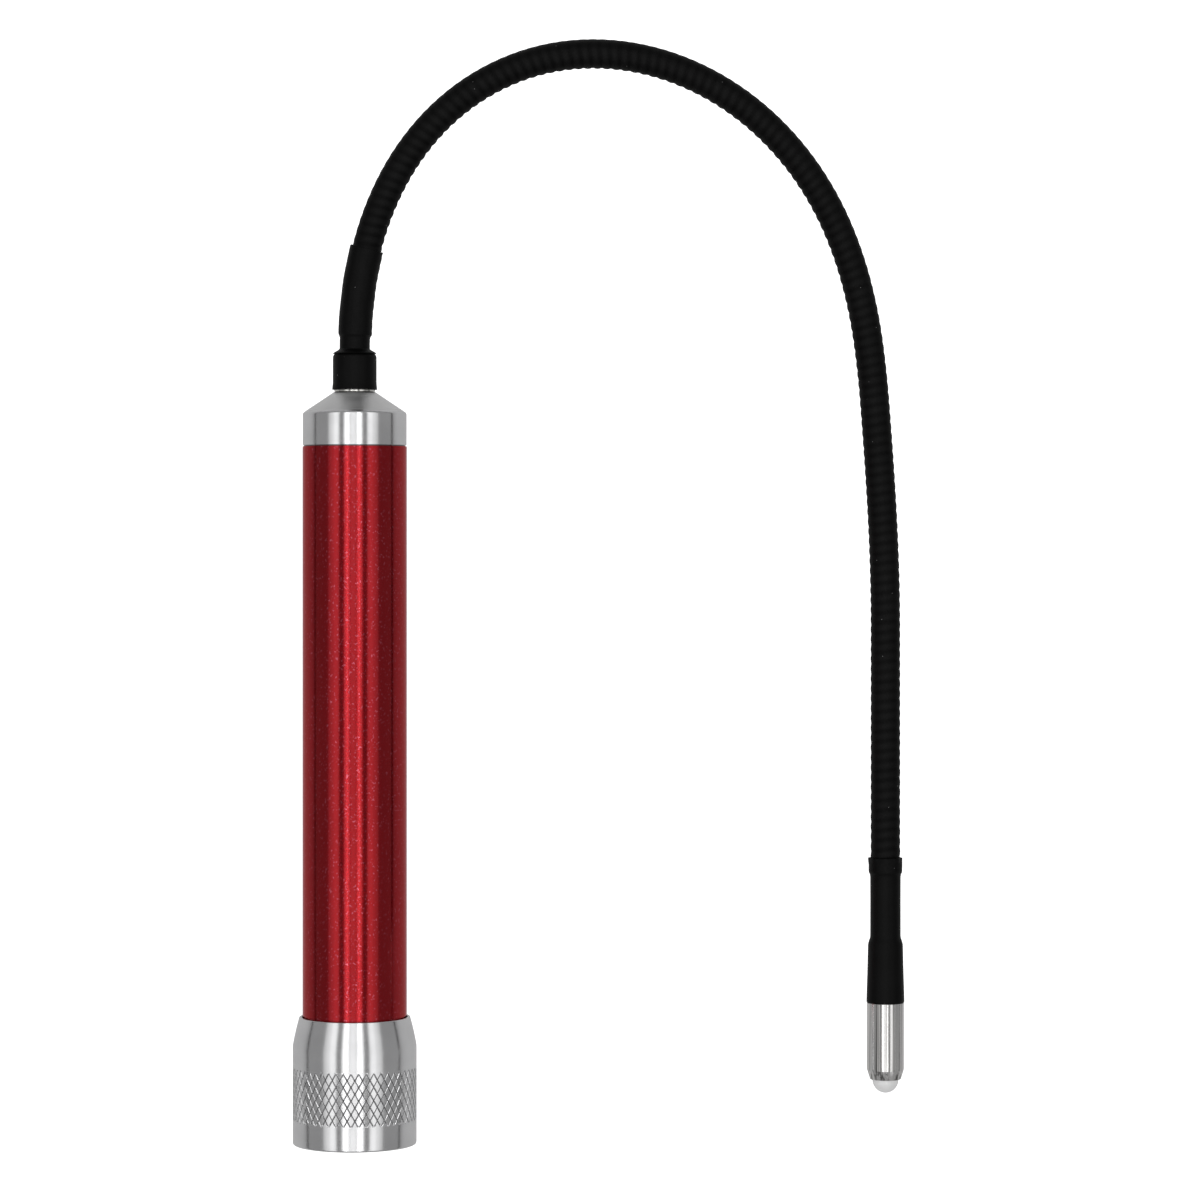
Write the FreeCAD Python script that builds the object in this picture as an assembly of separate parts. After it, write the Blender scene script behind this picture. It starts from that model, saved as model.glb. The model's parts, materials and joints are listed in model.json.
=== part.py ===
import FreeCAD, Part
import math
import os
from FreeCAD import Placement, Rotation, Vector

# Lighted magnetic pickup tool: a two-cell handle, a gooseneck bent into a hook, and a
# magnet with a lamp in its nose. All sizes are in millimetres.
# Lengths along the handle are heights above the tail face, on +Y, and the tool lies on
# its side with +Z up. Lengths along the tip are depths from the end of the gooseneck
# cover towards the lamp. The gooseneck bends in the plane of X and Y.

# running gaps
RUN_GAP = 0.05
LOOSE_GAP = 0.1

# handle
BARREL_R = 10.0
BARREL_BORE_R = 7.6
BARREL_TOP = 133.6
BARREL_MALE_R = 9.3
BARREL_MALE_START = 6.5
BARREL_SHOULDER = 18.5
BARREL_LAND_R = 9.8
BARREL_LAND_TOP = 24.6
COUNTERBORE_R = 8.6
COUNTERBORE_START = 125.0
TAIL_GROOVE_R = 9.1
TAIL_GROOVE_START = 19.5
GROOVE_WIDTH = 1.2

# tail cap
CAP_R = 11.85
CAP_EDGE = 0.4
CAP_FLOOR = 3.0
CAP_BORE_R = 9.4
CAP_STEP = 18.45
CAP_MOUTH_R = 10.1
CAP_STRAIGHT_TOP = 18.9
CAP_TOP = 24.4
CAP_LIP_R = 10.62
CAP_LIP_EDGE = 0.2
CAP_SHOULDER = (11.64, 19.8)
CAP_SHOULDER_BOW = 0.07

# neck cap
NECK_R = 9.95
NECK_STRAIGHT_TOP = 139.8
NECK_TOP = 143.85
NECK_TOP_R = 4.0
NECK_EDGE = 0.5
SPIGOT_R = COUNTERBORE_R - RUN_GAP
NECK_CAVITY_R = 7.2
NECK_CAVITY_TOP = 137.0
NECK_BORE_R = 3.0
NECK_GROOVE_R = 7.75
NECK_GROOVE_START = 128.0

# rubber rings: radius of the section, and gap to the groove's floor
RING_SECTION_R = 0.45
RING_LIFT = 0.05

# cells
CELL_R = 7.1
CELL_LENGTH = 49.2
CELL_EDGE = 0.8
NUB_R = 2.75
NUB_LENGTH = 1.3
CELL_START = 12.4
SPRING_START = 3.4
SPRING_PLATE_R = 6.5
SPRING_RADII = (5.2, 5.0, 4.6, 4.0, 3.3)
SPRING_WIRE_R = 0.45

# contact carrier and lamp driver
CARRIER_R = 7.5
CARRIER_WALL = 0.7
CARRIER_FLOOR = 1.5
CARRIER_TOP = 124.9
FRONT_CONTACT_R = 3.5
FRONT_CONTACT_THICKNESS = 0.4
FRONT_PIN_R = 1.0
BOARD_R = 6.7
BOARD_BOTTOM = 121.0
BOARD_THICKNESS = 1.2
RESISTOR = Vector(2.6, 1.1, 1.3)
DRIVER_CHIP = Vector(2.9, 1.1, 2.6)

# gooseneck root fitting
STEM_R = 2.95
STEM_BOTTOM = 133.5
FLANGE_R = 3.9
FLANGE_TOP = 144.25
CUP_R = 3.8
CUP_TOP = 150.9
NUT_ACROSS_FLATS = 9.0
NUT_BOTTOM = 134.9
NUT_TOP = 136.95

# gooseneck: equal spans, each bent to an arc. The bend is given in degrees at a few
# spans and changes evenly between them; the whole bend turns the tip straight back.
SPAN_COUNT = 24
SPAN_LENGTH = 11.0
ROUTE_START = 151.5
WHOLE_BEND = 180.0
BEND_AT_SPAN = (
    (0, 7.0),
    (2, 10.75),
    (4, 14.25),
    (6, 15.5),
    (9, 12.5),
    (12, 10.25),
    (14, 6.5),
    (16, 0.5),
    (19, 1.75),
    (20, 0.0),
    (23, 0.0),
)
COIL_R = 2.4
COIL_BORE_R = 1.3
COIL_END_GAP = 0.75
SLEEVE_R = 2.85
SLEEVE_BORE_R = COIL_R + RUN_GAP
SLEEVE_START = 3.5
SLEEVE_TAIL = 3.3

# shrink tube over the gooseneck's root
COLLAR_R = 4.2
COLLAR_LIP_R = 4.27
COLLAR_BOTTOM = 144.35
WAIST_R = 2.9
SKIRT_R = 3.25
SKIRT_LENGTH = 19.9

# lamp wires
WIRE_R = 0.45
WIRE_OFFSET = 0.5

# tip, by depth
SHRINK_LIP_R = 3.2
SHRINK_LIP_END = 3.4
SHRINK_WAIST_R = 2.9
SHRINK_SHOULDER = 15.3
SHRINK_SHOULDER_R = 3.35
SHRINK_SHOULDER_END = 16.5
SHRINK_END = 27.7
SHRINK_END_R = 3.64
FERRULE_START = 15.9
FERRULE_END = 21.95
FERRULE_R = 3.05
COIL_END = 21.5
SHELL_R = 3.54
SHELL_SPIGOT_R = 3.3
SHELL_SPIGOT_START = 22.0
SHELL_SPIGOT_BORE_R = 2.9
SHELL_BORE_R = 3.28
SHELL_CHAMFER_START = 40.4
SHELL_END = 42.4
SHELL_NOSE_R = 2.72
SHELL_NOSE_BORE_R = 2.55
MAGNET_START = 36.6
MAGNET_END = 40.3
MAGNET_R = 3.23
LED_R = 2.5
LED_FLANGE_R = 2.9
LED_FLANGE_START = 35.5
LED_FLANGE_END = 36.5
LED_DOME_START = 42.5
LEAD_SIDE = 0.5
LEAD_SPACING = 2.54
LEAD_START = 29.8
HOLDER_START = 31.0
HOLDER_R = 3.2


def point(radius, height):
    """A point of a profile: its distance from the axis and its place along it."""
    return Vector(radius, height, 0)


def turned(profile):
    """A solid turned about the handle's axis from a closed profile of (radius, height)."""
    corners = [point(radius, height) for radius, height in profile]
    outline = Part.makePolygon(corners + corners[:1])
    return Part.Face(outline).revolve(Vector(0, 0, 0), Vector(0, 1, 0), 360)


def cylinder(radius, bottom, top, x=0.0, z=0.0):
    """A cylinder along the handle's axis, or beside it."""
    return Part.makeCylinder(radius, top - bottom, Vector(x, bottom, z), Vector(0, 1, 0))


def ring(radius, section_radius, height):
    """A round rubber or wire ring about the handle's axis."""
    return Part.makeTorus(radius, section_radius, Vector(0, height, 0), Vector(0, 1, 0))


def arc_points(centre, radius, start, end, steps):
    """Points of a profile along an arc, with angles in degrees from the radial way."""
    angles = [math.radians(start + (end - start) * i / steps) for i in range(steps + 1)]
    return [
        (centre[0] + radius * math.cos(a), centre[1] + radius * math.sin(a)) for a in angles
    ]


def bowed(start, end, bow, steps):
    """Points of a profile between two of its corners, bowed outwards by this much."""
    fractions = [i / steps for i in range(steps + 1)]
    return [
        (
            start[0] + (end[0] - start[0]) * t + 4 * bow * t * (1 - t),
            start[1] + (end[1] - start[1]) * t,
        )
        for t in fractions
    ]


def span_bends():
    """The bend of each span in degrees."""
    bends = []
    for span in range(SPAN_COUNT):
        for (first, low), (last, high) in zip(BEND_AT_SPAN, BEND_AT_SPAN[1:]):
            if first <= span <= last:
                bend = low + (high - low) * (span - first) / (last - first)
        bends.append(bend)
    total = sum(bends)
    return [bend * WHOLE_BEND / total for bend in bends]


class Frame:
    """A place on the route: its point and its heading, clockwise from +Y in degrees."""

    def __init__(self, place, heading):
        self.place = place
        self.heading = heading

    def ahead(self):
        angle = math.radians(self.heading)
        return Vector(math.sin(angle), math.cos(angle), 0)

    def right(self):
        angle = math.radians(self.heading)
        return Vector(math.cos(angle), -math.sin(angle), 0)

    def along(self, length, bend):
        """The place reached after an arc of this length that turns by this bend."""
        if bend == 0:
            return Frame(self.place + self.ahead() * length, self.heading)
        radius = length / math.radians(bend)
        centre = self.place + self.right() * radius
        turned_frame = Frame(self.place, self.heading + bend)
        return Frame(centre - turned_frame.right() * radius, self.heading + bend)

    def placement(self):
        """Moves a shape built along +Y from the origin to this place."""
        return Placement(self.place, Rotation(Vector(0, 0, -1), self.heading))


BENDS = span_bends()


def span_starts():
    """The frames at the starts of the spans, which are the hinges, and the route's end."""
    frames = [Frame(Vector(0, ROUTE_START, 0), 0.0)]
    for bend in BENDS:
        frames.append(frames[-1].along(SPAN_LENGTH, bend))
    return frames


STARTS = span_starts()
ROUTE_END = STARTS[-1]


def span_tube(span, outer, inner, start=0.0, end=SPAN_LENGTH):
    """A tube along one span from one length to another."""
    bend = BENDS[span]
    frame = STARTS[span].along(start, bend * start / SPAN_LENGTH)
    length = end - start
    if bend == 0:
        body = Part.makeCylinder(outer, length, frame.place, frame.ahead())
        if inner:
            body = body.cut(Part.makeCylinder(inner, length, frame.place, frame.ahead()))
        return body
    radius = SPAN_LENGTH / math.radians(bend)
    centre = frame.place + frame.right() * radius
    section = Part.Face(Part.Wire(Part.makeCircle(outer, frame.place, frame.ahead())))
    if inner:
        hole = Part.Face(Part.Wire(Part.makeCircle(inner, frame.place, frame.ahead())))
        section = section.cut(hole).Faces[0]
    return section.revolve(centre, Vector(0, 0, -1), bend * length / SPAN_LENGTH)


def route_tube(outer, inner, start, end):
    """A tube along the route between two lengths from the first hinge."""
    pieces = []
    for span in range(SPAN_COUNT):
        low = max(start - span * SPAN_LENGTH, 0.0)
        high = min(end - span * SPAN_LENGTH, SPAN_LENGTH)
        if high > low:
            pieces.append(span_tube(span, outer, inner, low, high))
    return pieces


def joined(pieces):
    """One solid from pieces that meet end to end."""
    if len(pieces) == 1:
        return pieces[0]
    return pieces[0].multiFuse(pieces[1:])


def at_tip(shape):
    """Moves a shape built along the handle's axis by depth to the tip."""
    moved = shape.copy()
    moved.Placement = ROUTE_END.placement().multiply(moved.Placement)
    return moved


def barrel():
    """The red tube: a male tail end, a land with a ring groove that the screw cap
    covers, the full radius above it, and a counterbore for the neck."""
    groove_end = TAIL_GROOVE_START + GROOVE_WIDTH
    return turned(
        [
            (BARREL_BORE_R, BARREL_MALE_START),
            (BARREL_MALE_R, BARREL_MALE_START),
            (BARREL_MALE_R, BARREL_SHOULDER),
            (BARREL_LAND_R, BARREL_SHOULDER),
            (BARREL_LAND_R, TAIL_GROOVE_START),
            (TAIL_GROOVE_R, TAIL_GROOVE_START),
            (TAIL_GROOVE_R, groove_end),
            (BARREL_LAND_R, groove_end),
            (BARREL_LAND_R, BARREL_LAND_TOP),
            (BARREL_R, BARREL_LAND_TOP),
            (BARREL_R, BARREL_TOP),
            (COUNTERBORE_R, BARREL_TOP),
            (COUNTERBORE_R, COUNTERBORE_START),
            (BARREL_BORE_R, COUNTERBORE_START),
        ]
    )


def tail_cap():
    """The screw cap: knurled skirt, a shoulder that bulges in to a thin lip, and a bore."""
    lip = (CAP_LIP_R, CAP_TOP - CAP_LIP_EDGE)
    shoulder = [(CAP_R, CAP_STRAIGHT_TOP)] + bowed(CAP_SHOULDER, lip, CAP_SHOULDER_BOW, 4)
    edge_centre = (CAP_R - CAP_EDGE, CAP_EDGE)
    return turned(
        [(0, 0)]
        + arc_points(edge_centre, CAP_EDGE, -90, 0, 4)
        + shoulder
        + [
            (CAP_LIP_R - CAP_LIP_EDGE, CAP_TOP),
            (CAP_MOUTH_R, CAP_TOP),
            (CAP_MOUTH_R, CAP_STEP),
            (CAP_BORE_R, CAP_STEP),
            (CAP_BORE_R, CAP_FLOOR),
            (0, CAP_FLOOR),
        ]
    )


def neck_cap():
    """The silver cap with its cone, a spigot in the barrel and a cavity for the nut."""
    groove_end = NECK_GROOVE_START + GROOVE_WIDTH
    edge_centre = (NECK_R - NECK_EDGE, NECK_STRAIGHT_TOP - NECK_EDGE)
    return turned(
        [
            (NECK_CAVITY_R, COUNTERBORE_START + RUN_GAP),
            (SPIGOT_R, COUNTERBORE_START + RUN_GAP),
            (SPIGOT_R, NECK_GROOVE_START),
            (NECK_GROOVE_R, NECK_GROOVE_START),
            (NECK_GROOVE_R, groove_end),
            (SPIGOT_R, groove_end),
            (SPIGOT_R, BARREL_TOP),
            (NECK_R, BARREL_TOP),
        ]
        + arc_points(edge_centre, NECK_EDGE, 0, 60, 4)
        + [
            (NECK_TOP_R, NECK_TOP),
            (NECK_BORE_R, NECK_TOP),
            (NECK_BORE_R, NECK_CAVITY_TOP),
            (NECK_CAVITY_R, NECK_CAVITY_TOP),
        ]
    )


def tail_seal():
    """The rubber ring in the barrel's groove."""
    middle = TAIL_GROOVE_START + GROOVE_WIDTH / 2
    return ring(TAIL_GROOVE_R + RING_LIFT + RING_SECTION_R, RING_SECTION_R, middle)


def neck_seal():
    """The rubber ring in the spigot's groove, which is slimmer than the tail's."""
    middle = NECK_GROOVE_START + GROOVE_WIDTH / 2
    section = (COUNTERBORE_R - NECK_GROOVE_R) / 2 - RING_LIFT / 2
    return ring(NECK_GROOVE_R + RING_LIFT / 2 + section, section, middle)


def cell(start):
    """A dry cell with rounded ends and a raised contact."""
    top = start + CELL_LENGTH
    return turned(
        [
            (0, start),
            (CELL_R - CELL_EDGE, start),
            (CELL_R, start + CELL_EDGE),
            (CELL_R, top - CELL_EDGE),
            (CELL_R - CELL_EDGE, top),
            (NUB_R, top),
            (NUB_R, top + NUB_LENGTH),
            (0, top + NUB_LENGTH),
        ]
    )


def spring_plate():
    """The disc that the spring stands on, just clear of the cap's floor."""
    return cylinder(SPRING_PLATE_R, CAP_FLOOR + 0.02, SPRING_START)


def tail_spring():
    """The battery spring: rings that narrow towards the cell, joined by short risers."""
    room = CELL_START - SPRING_START - 2 * SPRING_WIRE_R
    step = room / (len(SPRING_RADII) - 1)
    heights = [SPRING_START + SPRING_WIRE_R + step * i for i in range(len(SPRING_RADII))]
    turns = [ring(r, SPRING_WIRE_R, h) for r, h in zip(SPRING_RADII, heights)]
    risers = []
    for i in range(len(turns) - 1):
        side = 1 if i % 2 == 0 else -1
        low = Vector(side * SPRING_RADII[i], heights[i], 0)
        high = Vector(side * SPRING_RADII[i + 1], heights[i + 1], 0)
        risers.append(
            Part.makeCylinder(SPRING_WIRE_R * 0.8, low.distanceToPoint(high), low, high - low)
        )
    return turns[0].multiFuse(turns[1:] + risers)


def contact_carrier():
    """The plastic cup between the front cell and the neck, with a hole for the pin."""
    floor_bottom = front_contact_top()
    floor_top = floor_bottom + CARRIER_FLOOR
    inner = CARRIER_R - CARRIER_WALL
    return turned(
        [
            (FRONT_PIN_R + RUN_GAP, floor_bottom),
            (CARRIER_R, floor_bottom),
            (CARRIER_R, CARRIER_TOP),
            (inner, CARRIER_TOP),
            (inner, floor_top),
            (FRONT_PIN_R + RUN_GAP, floor_top),
        ]
    )


def front_contact_bottom():
    """The height at which the front cell's raised contact ends."""
    return CELL_START + 2 * (CELL_LENGTH + NUB_LENGTH)


def front_contact_top():
    """The height of the front contact's upper face."""
    return front_contact_bottom() + FRONT_CONTACT_THICKNESS


def front_contact():
    """The brass disc against the front cell, with a pin up to the board."""
    disc = cylinder(FRONT_CONTACT_R, front_contact_bottom(), front_contact_top())
    pin = cylinder(FRONT_PIN_R, front_contact_top(), BOARD_BOTTOM)
    return disc.fuse(pin)


def driver_board():
    """The round board in the carrier."""
    return cylinder(BOARD_R, BOARD_BOTTOM, BOARD_BOTTOM + BOARD_THICKNESS)


def block_on_board(size, x, z):
    """A box that stands on the board, centred at a place on it."""
    corner = Vector(x - size.x / 2, BOARD_BOTTOM + BOARD_THICKNESS, z - size.z / 2)
    return Part.makeBox(size.x, size.y, size.z, corner)


def gooseneck_ferrule():
    """The fitting that holds the gooseneck's root: stem, flange and cup."""
    cup_floor = FLANGE_TOP + 1.0
    return turned(
        [
            (COIL_BORE_R, STEM_BOTTOM),
            (STEM_R, STEM_BOTTOM),
            (STEM_R, NECK_TOP + 0.02),
            (FLANGE_R, NECK_TOP + 0.02),
            (FLANGE_R, FLANGE_TOP),
            (CUP_R, FLANGE_TOP),
            (CUP_R, CUP_TOP),
            (SLEEVE_BORE_R, CUP_TOP),
            (SLEEVE_BORE_R, cup_floor),
            (COIL_BORE_R, cup_floor),
        ]
    )


def ferrule_nut():
    """The hexagon nut that clamps the fitting inside the neck cap."""
    corner_r = NUT_ACROSS_FLATS / math.sqrt(3)
    corners = [
        Vector(
            corner_r * math.cos(math.radians(60 * i)),
            NUT_BOTTOM,
            corner_r * math.sin(math.radians(60 * i)),
        )
        for i in range(6)
    ]
    hexagon = Part.Face(Part.makePolygon(corners + corners[:1]))
    blank = hexagon.extrude(Vector(0, NUT_TOP - NUT_BOTTOM, 0))
    return blank.cut(cylinder(STEM_R + 0.02, NUT_BOTTOM - 1, NUT_TOP + 1))


def coil_root():
    """The first turns of the coil, inside the fitting's cup."""
    bottom = FLANGE_TOP + 1.02
    top = ROUTE_START - COIL_END_GAP
    return cylinder(COIL_R, bottom, top).cut(cylinder(COIL_BORE_R, bottom, top))


def coil_span(span):
    """One moving span of the wound steel coil."""
    end = SPAN_LENGTH - COIL_END_GAP
    return span_tube(span, COIL_R, COIL_BORE_R, COIL_END_GAP, end)


def last_coil_span():
    """The last span of the coil, which runs on straight into the tip's ferrule."""
    arc = span_tube(SPAN_COUNT - 1, COIL_R, COIL_BORE_R, COIL_END_GAP, SPAN_LENGTH)
    straight = cylinder(COIL_R, 0, COIL_END).cut(cylinder(COIL_BORE_R, 0, COIL_END))
    return arc.fuse(at_tip(straight))


def gooseneck_sleeve():
    """The rubber cover of the coil, from below the root's shrink tube to inside the tip's."""
    whole = SPAN_COUNT * SPAN_LENGTH
    pieces = route_tube(SLEEVE_R, SLEEVE_BORE_R, SLEEVE_START, whole)
    tail = cylinder(SLEEVE_R, 0, SLEEVE_TAIL).cut(cylinder(SLEEVE_BORE_R, 0, SLEEVE_TAIL))
    return joined(pieces + [at_tip(tail)])


def base_shrink():
    """The shrink tube at the root: a collar round the fitting, a waist and a skirt."""
    skirt_bore = SLEEVE_R + 0.02
    waist_top = ROUTE_START + SLEEVE_START - 0.1
    collar = turned(
        [
            (CUP_R + RUN_GAP, COLLAR_BOTTOM),
            (COLLAR_LIP_R, COLLAR_BOTTOM),
            (COLLAR_R, COLLAR_BOTTOM + 0.8),
            (COLLAR_R, CUP_TOP + 0.1),
            (COLLAR_R - 0.3, ROUTE_START),
            (CUP_R - 0.9, ROUTE_START),
            (CUP_R + RUN_GAP, CUP_TOP + 0.02),
        ]
    )
    shoulder = span_tube(0, COLLAR_R - 0.3, SLEEVE_BORE_R, 0, 0.5)
    waist = span_tube(0, WAIST_R, SLEEVE_BORE_R, 0.5, waist_top - ROUTE_START)
    step = span_tube(0, SKIRT_R, SLEEVE_BORE_R, waist_top - ROUTE_START, SLEEVE_START)
    skirt = route_tube(SKIRT_R, skirt_bore, SLEEVE_START, SKIRT_LENGTH)
    return joined([collar, shoulder, waist, step] + skirt)


def lamp_wire(side):
    """One insulated wire from the board through the coil to its lead of the lamp."""
    shift = Vector(0, 0, side * WIRE_OFFSET)
    root = cylinder(WIRE_R, BOARD_BOTTOM + BOARD_THICKNESS, ROUTE_START, z=shift.z)
    spans = route_tube(WIRE_R, 0, 0, SPAN_COUNT * SPAN_LENGTH)
    for piece in spans:
        piece.translate(shift)
    bend_depth = COIL_END + 1.0
    straight = cylinder(WIRE_R, 0, bend_depth, z=shift.z)
    low = Vector(0, bend_depth, shift.z)
    high = Vector(0, LEAD_START, side * LEAD_SPACING / 2)
    slant = Part.makeCylinder(WIRE_R, low.distanceToPoint(high), low, high - low)
    elbow = Part.makeSphere(WIRE_R, low)
    end = straight.multiFuse([slant, elbow])
    return joined([root] + spans + [at_tip(end)])


def tip_ferrule():
    """The metal tube on the coil's end."""
    tube = cylinder(FERRULE_R, FERRULE_START, FERRULE_END)
    return at_tip(tube.cut(cylinder(SLEEVE_BORE_R, FERRULE_START, FERRULE_END)))


def tip_shrink():
    """The shrink tube from over the cover's end to over the shell's spigot."""
    return at_tip(
        turned(
            [
                (SLEEVE_R + 0.02, 0),
                (SHRINK_LIP_R, 0),
                (SHRINK_LIP_R, SHRINK_LIP_END - 0.6),
                (SHRINK_WAIST_R, SHRINK_LIP_END),
                (SHRINK_WAIST_R, SHRINK_SHOULDER),
                (SHRINK_SHOULDER_R, SHRINK_SHOULDER_END),
                (SHRINK_END_R, SHRINK_END),
                (SHELL_SPIGOT_R + 0.02, SHRINK_END),
                (SHELL_SPIGOT_R + 0.02, SHELL_SPIGOT_START - 0.05),
                (FERRULE_R + RUN_GAP, SHELL_SPIGOT_START - 0.05),
                (FERRULE_R + RUN_GAP, FERRULE_START - 0.03),
                (SLEEVE_BORE_R, FERRULE_START - 0.03),
                (SLEEVE_BORE_R, SHRINK_LIP_END),
                (SLEEVE_R + 0.02, SHRINK_LIP_END - 0.05),
            ]
        )
    )


def tip_shell():
    """The plated steel tip with its spigot, thin wall and chamfered nose."""
    return at_tip(
        turned(
            [
                (SHELL_SPIGOT_BORE_R, SHELL_SPIGOT_START),
                (SHELL_SPIGOT_R, SHELL_SPIGOT_START),
                (SHELL_SPIGOT_R, SHRINK_END + 0.02),
                (SHELL_R, SHRINK_END + 0.02),
                (SHELL_R, SHELL_CHAMFER_START),
                (SHELL_NOSE_R, SHELL_END),
                (SHELL_NOSE_BORE_R, SHELL_END),
                (SHELL_NOSE_BORE_R, MAGNET_END + 0.05),
                (SHELL_BORE_R, MAGNET_END + 0.05),
                (SHELL_BORE_R, SHRINK_END + 0.8),
                (SHELL_SPIGOT_BORE_R, SHRINK_END + 0.8),
            ]
        )
    )


def tip_magnet():
    """The ring magnet round the lamp."""
    tube = cylinder(MAGNET_R, MAGNET_START, MAGNET_END)
    return at_tip(tube.cut(cylinder(SHELL_NOSE_BORE_R, MAGNET_START, MAGNET_END)))


def led():
    """The clear lamp: flange, body and dome."""
    flange = cylinder(LED_FLANGE_R, LED_FLANGE_START, LED_FLANGE_END)
    body = cylinder(LED_R, LED_FLANGE_END, LED_DOME_START)
    dome = Part.makeSphere(LED_R, Vector(0, LED_DOME_START, 0))
    return at_tip(flange.multiFuse([body, dome]))


def led_lead(side):
    """One square lead of the lamp."""
    length = LED_FLANGE_START - LEAD_START
    corner = Vector(
        -LEAD_SIDE / 2, LEAD_START, side * LEAD_SPACING / 2 - LEAD_SIDE / 2
    )
    return at_tip(Part.makeBox(LEAD_SIDE, length, LEAD_SIDE, corner))


def led_holder():
    """The plastic plug behind the lamp, with a hole for each lead."""
    top = LED_FLANGE_START - 0.02
    plug = cylinder(HOLDER_R, HOLDER_START, top)
    for side in (1, -1):
        hole_z = side * LEAD_SPACING / 2
        plug = plug.cut(cylinder(LEAD_SIDE, HOLDER_START, top, z=hole_z))
    return at_tip(plug)


def all_parts():
    """Every node by name."""
    rear_start = CELL_START
    front_start = CELL_START + CELL_LENGTH + NUB_LENGTH
    parts = {
        "barrel": barrel(),
        "neck_cap": neck_cap(),
        "neck_seal": neck_seal(),
        "tail_seal": tail_seal(),
        "battery_rear": cell(rear_start),
        "battery_front": cell(front_start),
        "contact_carrier": contact_carrier(),
        "front_contact": front_contact(),
        "driver_board": driver_board(),
        "board_resistor": block_on_board(RESISTOR, 3.6, 0),
        "board_chip": block_on_board(DRIVER_CHIP, -3.6, 0),
        "gooseneck_ferrule": gooseneck_ferrule(),
        "ferrule_nut": ferrule_nut(),
        "coil_root": coil_root(),
        "base_shrink": base_shrink(),
        "gooseneck_sleeve": gooseneck_sleeve(),
        "led_wire_red": lamp_wire(1),
        "led_wire_black": lamp_wire(-1),
        "tail_cap": tail_cap(),
        "spring_plate": spring_plate(),
        "tail_spring": tail_spring(),
        "tip_ferrule": tip_ferrule(),
        "tip_shrink": tip_shrink(),
        "tip_shell": tip_shell(),
        "tip_magnet": tip_magnet(),
        "led": led(),
        "led_lead_red": led_lead(1),
        "led_lead_black": led_lead(-1),
        "led_holder": led_holder(),
    }
    for span in range(SPAN_COUNT - 1):
        parts[f"coil_{span + 1:02d}"] = coil_span(span)
    parts[f"coil_{SPAN_COUNT:02d}"] = last_coil_span()
    return parts


def footprint_shift(parts):
    """The move that puts the bottom of the whole tool's box, at its middle, at the origin."""
    box = Part.makeCompound(list(parts.values())).optimalBoundingBox()
    return Vector(-(box.XMin + box.XMax) / 2, -(box.YMin + box.YMax) / 2, -box.ZMin)


def main():
    os.makedirs("parts", exist_ok=True)
    parts = all_parts()
    shift = footprint_shift(parts)
    for name, shape in parts.items():
        shape.translate(shift)
        if len(shape.Solids) != 1:
            raise ValueError(f"{name} is not one solid")
        shape.Solids[0].exportStep(f"parts/{name}.step")


if __name__ == "__main__":
    main()
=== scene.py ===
import json
import math
import random

import bmesh
import bpy
import numpy as np
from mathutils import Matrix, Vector

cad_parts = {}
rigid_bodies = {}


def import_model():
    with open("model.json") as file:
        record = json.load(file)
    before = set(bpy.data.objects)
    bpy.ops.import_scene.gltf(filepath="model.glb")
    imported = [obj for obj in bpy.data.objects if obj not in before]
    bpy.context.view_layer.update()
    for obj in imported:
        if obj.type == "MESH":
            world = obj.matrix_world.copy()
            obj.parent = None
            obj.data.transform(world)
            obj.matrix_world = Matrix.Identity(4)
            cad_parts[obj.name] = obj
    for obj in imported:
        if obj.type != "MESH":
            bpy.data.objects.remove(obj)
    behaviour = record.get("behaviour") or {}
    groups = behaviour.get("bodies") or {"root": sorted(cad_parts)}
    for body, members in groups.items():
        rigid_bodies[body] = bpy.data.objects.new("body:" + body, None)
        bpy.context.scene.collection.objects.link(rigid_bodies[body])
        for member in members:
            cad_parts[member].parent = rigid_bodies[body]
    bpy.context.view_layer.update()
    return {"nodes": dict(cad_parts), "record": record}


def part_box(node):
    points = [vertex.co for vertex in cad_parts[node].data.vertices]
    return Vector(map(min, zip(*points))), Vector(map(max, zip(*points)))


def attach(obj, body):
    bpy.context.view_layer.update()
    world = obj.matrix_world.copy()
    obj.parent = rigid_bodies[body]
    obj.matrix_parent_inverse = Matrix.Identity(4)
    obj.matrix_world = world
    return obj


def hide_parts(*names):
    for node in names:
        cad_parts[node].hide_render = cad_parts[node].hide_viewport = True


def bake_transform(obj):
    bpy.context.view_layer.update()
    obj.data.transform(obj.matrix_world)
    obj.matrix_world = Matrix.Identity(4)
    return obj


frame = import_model()

# All lengths below are in millimetres until they reach a mesh.
MM = 0.001


# ---------------------------------------------------------------- places from the frame

barrel_low, barrel_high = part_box("barrel")
shell_low, shell_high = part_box("tip_shell")
AXIS_X = (barrel_low[0] + barrel_high[0]) / 2
AXIS_Z = (barrel_low[2] + barrel_high[2]) / 2
TAIL_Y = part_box("tail_cap")[0][1]
TIP_X = (shell_low[0] + shell_high[0]) / 2
TIP_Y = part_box("tip_shrink")[1][1]


def on_handle(x, y, z):
    """A point of the handle's own frame, where y is the height above the tail face."""
    return (AXIS_X + x * MM, TAIL_Y + y * MM, AXIS_Z + z * MM)


def on_tip(x, y, z):
    """A point of the tip's own frame, where y is the depth towards the lamp."""
    return (TIP_X + x * MM, TIP_Y - y * MM, AXIS_Z + z * MM)


def hinge_chain():
    """The gooseneck's hinges from the handle to the tip, and the bodies that they join."""
    by_parent = {}
    for joint in frame["record"]["behaviour"]["joints"]:
        if joint["child"].startswith("span_"):
            by_parent[joint["parent"]] = joint
    chain = []
    body = "handle"
    while body in by_parent:
        joint = by_parent[body]
        chain.append((np.array(joint["pos_m"]), body, joint["child"]))
        body = joint["child"]
    return chain


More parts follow.
